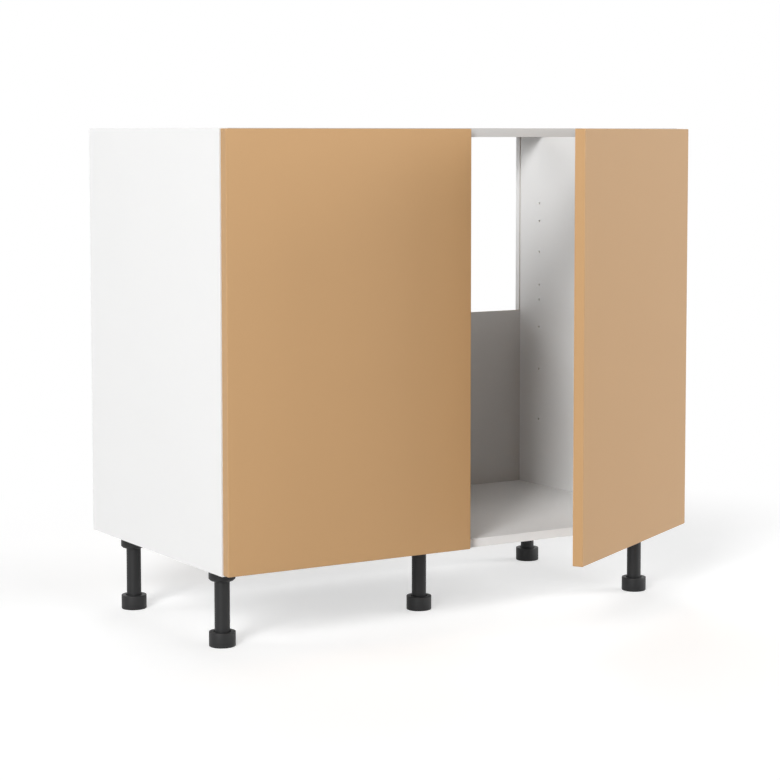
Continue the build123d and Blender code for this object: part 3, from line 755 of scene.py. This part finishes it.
# Cams lie open at the undersides of the bottom panel and the rails.
CAM_SIDES = 48
CAM_FACE = -0.2     # mm, from the face of the board to the face that holds the slot
CAM_PROFILE = (     # radius and height in mm: plain drum, raised rim, groove, raised middle
    (0, -12.5), (6.9, -12.5), (7.5, -11.9), (7.5, -0.5), (7.1, -0.1), (6.5, -0.1),
    (6.3, -0.5), (4.6, -0.5), (4.3, CAM_FACE), (3.9, CAM_FACE),
)


def drawn_cam():
    """A cam: its drum, and the raised middle with the cross slot."""
    bm = bmesh.new()
    rings = lathe(bm, [(radius * MM, height * MM) for radius, height in CAM_PROFILE], CAM_SIDES)
    cross_slot(bm, rings[-1], CAM_FACE * MM, reach=3.3 * MM, half=0.6 * MM, depth=3.0 * MM)
    return close_mesh(bm, "cam")


set_fittings("cams_drawn", drawn_cam(), seats("cam_fittings", 0.0, DOWN), ZINC, 17, "carcass",
             ["cam_fittings"])

# Four small screws hold each leg's plate to the bottom panel.
LEG_PLATE = 3 * MM
LEG_SCREW_REACH = 22 * MM   # from the leg's axis, along X and along Y
LEG_SCREW_SIZE = 0.78       # against a hinge plate's screw

leg_places = {}
for node_name in sorted(nodes):
    if node_name.startswith("leg_foot_"):
        low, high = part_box(node_name)
        middle = Vector(((low.x + high.x) / 2, (low.y + high.y) / 2, 0))
        leg_places[node_name.removeprefix("leg_foot_")] = middle

leg_screw_places = []
for centre in leg_places.values():
    for dx in (-LEG_SCREW_REACH, LEG_SCREW_REACH):
        for dy in (-LEG_SCREW_REACH, LEG_SCREW_REACH):
            seat = (centre.x + dx, centre.y + dy, CARCASS_BOTTOM - LEG_PLATE)
            leg_screw_places.append((seat, DOWN))
set_fittings("leg_plate_screws", plate_screw, leg_screw_places, ZINC, 23, "carcass",
             size=LEG_SCREW_SIZE)


# ---- Feet: a moulded puck with a threaded stud, one for each leg --------------------------------
FOOT_SIDES = 64
PUCK_RADIUS = 23.75 * MM
PUCK_HEIGHT = 26.6 * MM
SOLE_SOFT = 1.6 * MM        # radius of the puck's lower edge
TOP_SOFT = 1.0 * MM         # radius of its upper edge
SOLE_RING = 5 * MM          # width of the ring of faces round the sole
SOFT_STEPS = 4
RECESS_RADIUS = 15.6 * MM   # round the tube
RECESS_DEPTH = 4.5 * MM
LIP_WIDTH, LIP_DEPTH = 0.6 * MM, 0.5 * MM
STUD_CREST = 5.98 * MM
STUD_ROOT = 5.4 * MM
STUD_PITCH = 2.5 * MM
STUD_LENGTH = 48 * MM
STUD_CHAMFER = 0.6 * MM
STUD_END = 0.86             # width of the stud's end, as a share of the thread below it


def drawn_foot(name, centre):
    """Turned puck with soft edges, a recess round the tube, and the stud's thread."""
    bm = bmesh.new()
    recess = PUCK_HEIGHT - RECESS_DEPTH
    quarter = [step / SOFT_STEPS * math.pi / 2 for step in range(SOFT_STEPS + 1)]
    profile = [(0, 0.0), (PUCK_RADIUS - SOLE_RING, 0.0), (PUCK_RADIUS - SOLE_SOFT, 0.0)]
    profile += [(PUCK_RADIUS - SOLE_SOFT + SOLE_SOFT * math.sin(angle),
                 SOLE_SOFT - SOLE_SOFT * math.cos(angle)) for angle in quarter[1:]]
    profile += [(PUCK_RADIUS - TOP_SOFT + TOP_SOFT * math.cos(angle),
                 PUCK_HEIGHT - TOP_SOFT + TOP_SOFT * math.sin(angle)) for angle in quarter]
    profile += [(RECESS_RADIUS + LIP_WIDTH, PUCK_HEIGHT), (RECESS_RADIUS, PUCK_HEIGHT - LIP_DEPTH),
                (RECESS_RADIUS, recess), (STUD_ROOT, recess)]
    rings = lathe(bm, profile, FOOT_SIDES)
    stud_top = recess + STUD_LENGTH
    first, last = thread_rings(bm, STUD_CREST, STUD_ROOT, recess, stud_top - STUD_CHAMFER,
                               STUD_PITCH, FOOT_SIDES)
    bridge(bm, rings[-1], first)
    end = narrowed(bm, last, STUD_END, stud_top)
    bridge(bm, last, end)
    bridge(bm, end, [bm.verts.new((0, 0, stud_top))])
    mesh = close_mesh(bm, name)
    mesh.transform(Matrix.Translation(centre))
    mesh.materials.append(PLASTIC)
    return new_object(name, mesh)


for name, centre in leg_places.items():
    foot = drawn_foot(f"foot_{name}_drawn", centre)
    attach(foot, f"foot_{name}")
    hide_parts(f"leg_foot_{name}")


# ---- Stage: pale floor, soft lamps, the photograph's camera -------------------------------------
FLOOR_GREY = (0.66, 0.66, 0.66)
FLOOR_REACH = 30.0
FLOOR_GLOW = 0.49           # the floor's own light, for the rays that see it
FLOOR_FADE = (0.85, 1.65)   # metres from the middle over which the floor turns to plain white
AMBIENT = 0.02
PURE_WHITE = (1, 1, 1, 1)

LAMPS_AIM = Vector((0.0, 0.1, 0.5))
# Name, azimuth and elevation in degrees, distance and width in metres, power in watts. Azimuth 0
# is in front of the doors, 90 on the cabinet's right.
LAMPS = (
    ("lamp_key", -52.0, 25.0, 14.0, 4.2, 1255.0),
    ("lamp_key_low", -52.0, 10.0, 14.0, 4.2, 380.0),
    ("lamp_key_high", -45.0, 35.0, 14.0, 4.2, 300.0),
    ("lamp_front", 15.0, 8.0, 10.0, 4.0, 100.0),
    ("lamp_front_right", 48.0, 8.0, 10.0, 4.0, 150.0),
    ("lamp_right", 70.0, 14.0, 10.0, 4.0, 535.0),
    ("lamp_rear_right", 155.0, 50.0, 10.0, 4.0, 200.0),
    ("lamp_rear_left", -122.0, 22.0, 10.0, 4.0, 150.0),
)

CAMERA_PLACE = (-2.2032, -3.4951, 0.8997)
CAMERA_DOWN = 4.418         # degrees below level
CAMERA_TURN = -31.798       # degrees about Z, from looking along +Y
CAMERA_SHIFT = (-0.0162, -0.11)
SENSOR_WIDTH = 36.0
FOCAL_LENGTH = 101.737


def seen_rays(tree):
    """1 for what the camera sees directly, in gloss or through something clear."""
    rays = put(tree, "ShaderNodeLightPath").outputs
    return maths(tree, "MAXIMUM", rays["Is Camera Ray"],
                 maths(tree, "MAXIMUM", rays["Is Glossy Ray"], rays["Is Transmission Ray"]))


def mix_shaders(tree, mask, first, second):
    """First shader where the mask is 0, second where it is 1."""
    node = put(tree, "ShaderNodeMixShader")
    for slot, source in enumerate((mask, first, second)):
        tree.links.new(source, node.inputs[slot])
    return node.outputs[0]


def lay_floor():
    """A pale floor that keeps the shadow and turns to plain white for the camera further out."""
    mesh = bpy.data.meshes.new("floor")
    mesh.from_pydata([(x * FLOOR_REACH, y * FLOOR_REACH, 0)
                      for x, y in ((-1, -1), (1, -1), (1, 1), (-1, 1))], [], [(0, 1, 2, 3)])
    obj = new_object("floor", mesh)
    finish = Finish("pale_floor", FLOOR_GREY, roughness=0.9, Specular_IOR_Level=0.0)
    mesh.materials.append(finish.material)
    tree = finish.tree
    seen = seen_rays(tree)
    glow = put(tree, "ShaderNodeEmission", values={"Color": PURE_WHITE})
    tree.links.new(finish.maths("MULTIPLY", seen, FLOOR_GLOW), glow.inputs["Strength"])
    near = put(tree, "ShaderNodeAddShader")
    tree.links.new(finish.shader.outputs[0], near.inputs[0])
    tree.links.new(glow.outputs[0], near.inputs[1])
    white = put(tree, "ShaderNodeEmission", values={"Color": PURE_WHITE, "Strength": 1.0})
    span = put(tree, "ShaderNodeVectorMath", operation="LENGTH")
    tree.links.new(finish.position, span.inputs[0])
    outer = ranged(tree, span.outputs["Value"], *FLOOR_FADE, smooth=True)
    far = finish.maths("MULTIPLY", seen, outer)
    surface = mix_shaders(tree, far, near.outputs[0], white.outputs[0])
    tree.links.new(surface, tree.nodes["Material Output"].inputs["Surface"])


def light_world():
    """A dim even light on the object, and plain white behind it for the camera."""
    made = bpy.data.worlds.new("soft_room")
    bpy.context.scene.world = made
    made.use_nodes = True
    tree = made.node_tree
    tree.nodes.clear()
    seen = seen_rays(tree)
    lit = put(tree, "ShaderNodeBackground", values={"Color": PURE_WHITE, "Strength": AMBIENT})
    white = put(tree, "ShaderNodeBackground", values={"Color": PURE_WHITE, "Strength": 1.0})
    surface = mix_shaders(tree, seen, lit.outputs[0], white.outputs[0])
    tree.links.new(surface, put(tree, "ShaderNodeOutputWorld").inputs["Surface"])


def hang_lamp(name, azimuth, elevation, distance, width, power):
    """A square soft lamp that faces the cabinet."""
    light = bpy.data.lights.new(name, "AREA")
    light.shape = "SQUARE"
    light.size = width
    light.energy = power
    obj = new_object(name, light)
    a, e = math.radians(azimuth), math.radians(elevation)
    way = Vector((math.sin(a) * math.cos(e), -math.cos(a) * math.cos(e), math.sin(e)))
    obj.location = LAMPS_AIM + way * distance
    obj.rotation_euler = way.to_track_quat("Z", "Y").to_euler()


def set_camera():
    """The photograph's view: aimed a little down, with the rest of the framing as shift."""
    lens = bpy.data.cameras.new("camera")
    lens.sensor_width = SENSOR_WIDTH
    lens.lens = FOCAL_LENGTH
    lens.shift_x, lens.shift_y = CAMERA_SHIFT
    lens.clip_start = 0.05
    lens.clip_end = 100.0
    camera = new_object("camera", lens)
    camera.location = CAMERA_PLACE
    camera.rotation_euler = (math.radians(90 - CAMERA_DOWN), 0, math.radians(CAMERA_TURN))
    bpy.context.scene.camera = camera


lay_floor()
light_world()
for row in LAMPS:
    hang_lamp(*row)
set_camera()
bpy.context.scene.view_settings.view_transform = "Standard"
